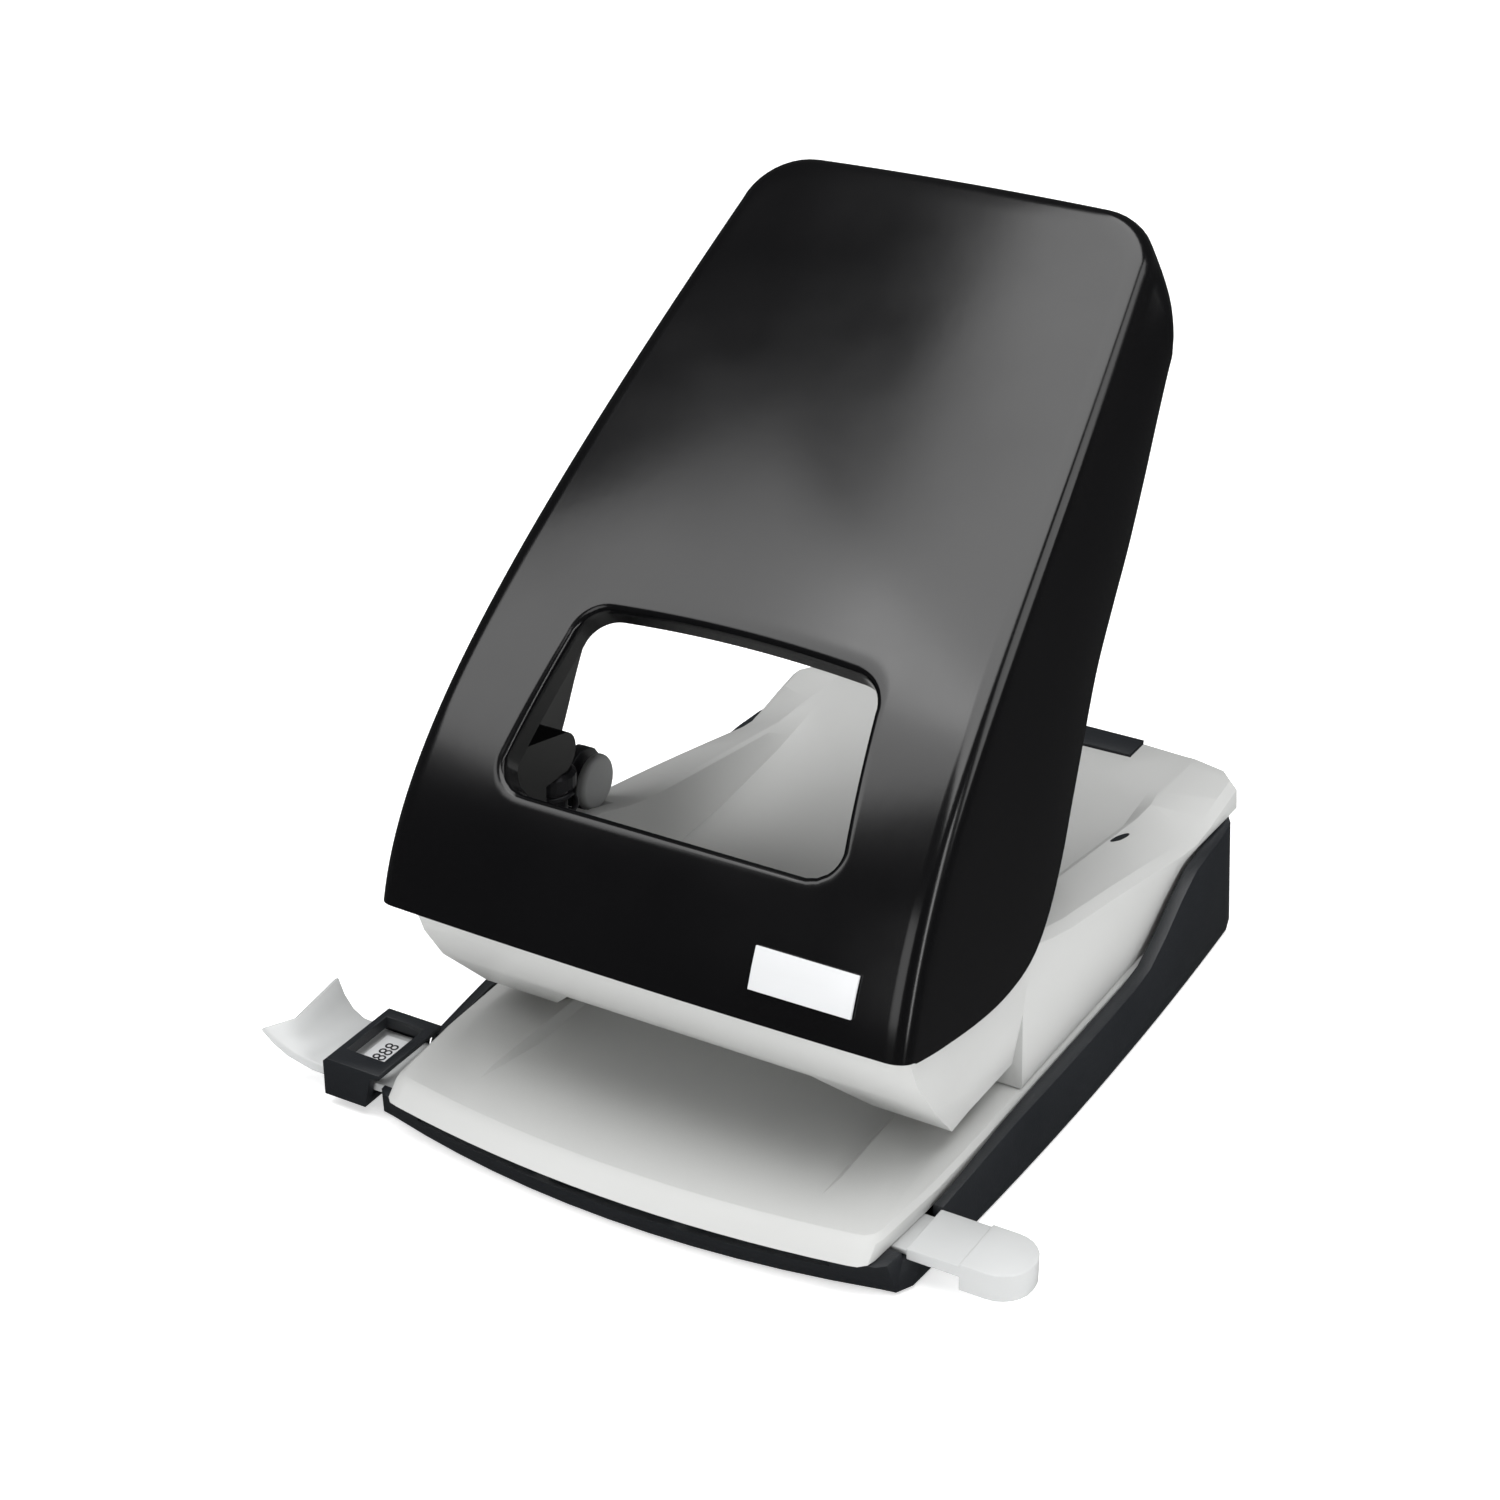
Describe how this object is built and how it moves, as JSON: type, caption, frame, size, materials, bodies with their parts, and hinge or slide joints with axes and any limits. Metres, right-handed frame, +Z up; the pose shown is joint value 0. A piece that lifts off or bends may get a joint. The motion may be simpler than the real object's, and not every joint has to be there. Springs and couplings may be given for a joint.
{
  "type": "hole punch",
  "caption": "Office hole punch with a tall lever handle, a paper mouth, a sliding side guide and a chip tray that opens underneath.",
  "frame": {"origin": "on the flat underside of the chip tray, midway between its two sides and 8.5 mm in front of the line through the two punches", "axes": "+Z up, away from the table; +X along the line of the two punches, to the user's right; +Y to the rear, away from the paper mouth"},
  "size_m": [0.1532, 0.1621, 0.1516],
  "materials": {
    "tray_plastic": "fine-grained black plastic",
    "frame_paint": "light grey paint on cast metal",
    "handle_paint": "gloss black paint on pressed steel",
    "grey_plastic": "smooth light grey plastic",
    "label_paper": "white printed foil",
    "brass": "turned brass",
    "steel": "bright steel",
    "rubber": "matte black rubber"
  },
  "bodies": {
    "tray": {"chip_tray": "tray_plastic", "format_window_frame": "tray_plastic", "rubber_foot_front_left": "rubber", "rubber_foot_front_right": "rubber", "rubber_foot_rear_left": "rubber", "rubber_foot_rear_right": "rubber", "tray_hinge_pin_left": "steel", "tray_hinge_pin_right": "steel"},
    "guide": {"guide_bar": "grey_plastic", "end_stop": "grey_plastic", "format_label": "label_paper"},
    "release": {"release_tab": "grey_plastic"},
    "machine": {"base_plate": "frame_paint", "punch_frame": "frame_paint", "handle_axle": "steel", "lock_plate": "tray_plastic", "die_left": "steel", "die_right": "steel", "punch_bush_left": "brass", "punch_bush_right": "brass", "return_spring_left": "steel", "return_spring_right": "steel", "frame_screw_front_left": "steel", "frame_screw_front_right": "steel", "frame_screw_rear_left": "steel", "frame_screw_rear_right": "steel"},
    "handle": {"handle_shell": "handle_paint", "name_badge": "label_paper", "press_cam_left": "handle_paint", "press_cam_right": "handle_paint"},
    "lock": {"lock_button": "grey_plastic"},
    "punch_left": {"punch_pin_left": "steel"},
    "punch_right": {"punch_pin_right": "steel"}
  },
  "joints": [
    {"name": "tray_opening", "type": "hinge", "parent": "tray", "child": "machine", "pos_m": [0, -0.0352, 0.005], "axis": [1, 0, 0], "range_deg": [0, 25]},
    {"name": "handle_press", "type": "hinge", "parent": "machine", "child": "handle", "pos_m": [0, -0.0175, 0.049], "axis": [-1, 0, 0], "range_deg": [0, 30], "stiffness_Nm_per_rad": 0.8, "springref_deg": -28.65, "deforming": ["return_spring_left", "return_spring_right"]},
    {"name": "punch_stroke_left", "type": "slide", "parent": "machine", "child": "punch_left", "axis": [0, 0, -1], "range_m": [0, 0.0139]},
    {"name": "punch_stroke_right", "type": "slide", "parent": "machine", "child": "punch_right", "axis": [0, 0, -1], "range_m": [0, 0.0139]},
    {"name": "lock_push", "type": "slide", "parent": "machine", "child": "lock", "axis": [-1, 0, 0], "range_m": [0, 0.0012]},
    {"name": "guide_extension", "type": "slide", "parent": "tray", "child": "guide", "axis": [-1, 0, 0], "range_m": [0, 0.08]},
    {"name": "guide_release", "type": "slide", "parent": "tray", "child": "release", "axis": [-1, 0, 0], "range_m": [0, 0.002], "stiffness_N_per_m": 400, "springref_m": -0.001}
  ],
  "couplings": [
    {"joint": "punch_stroke_left", "follows": "handle_press", "m_per_rad": 0.0264},
    {"joint": "punch_stroke_right", "follows": "handle_press", "m_per_rad": 0.0264}
  ]
}
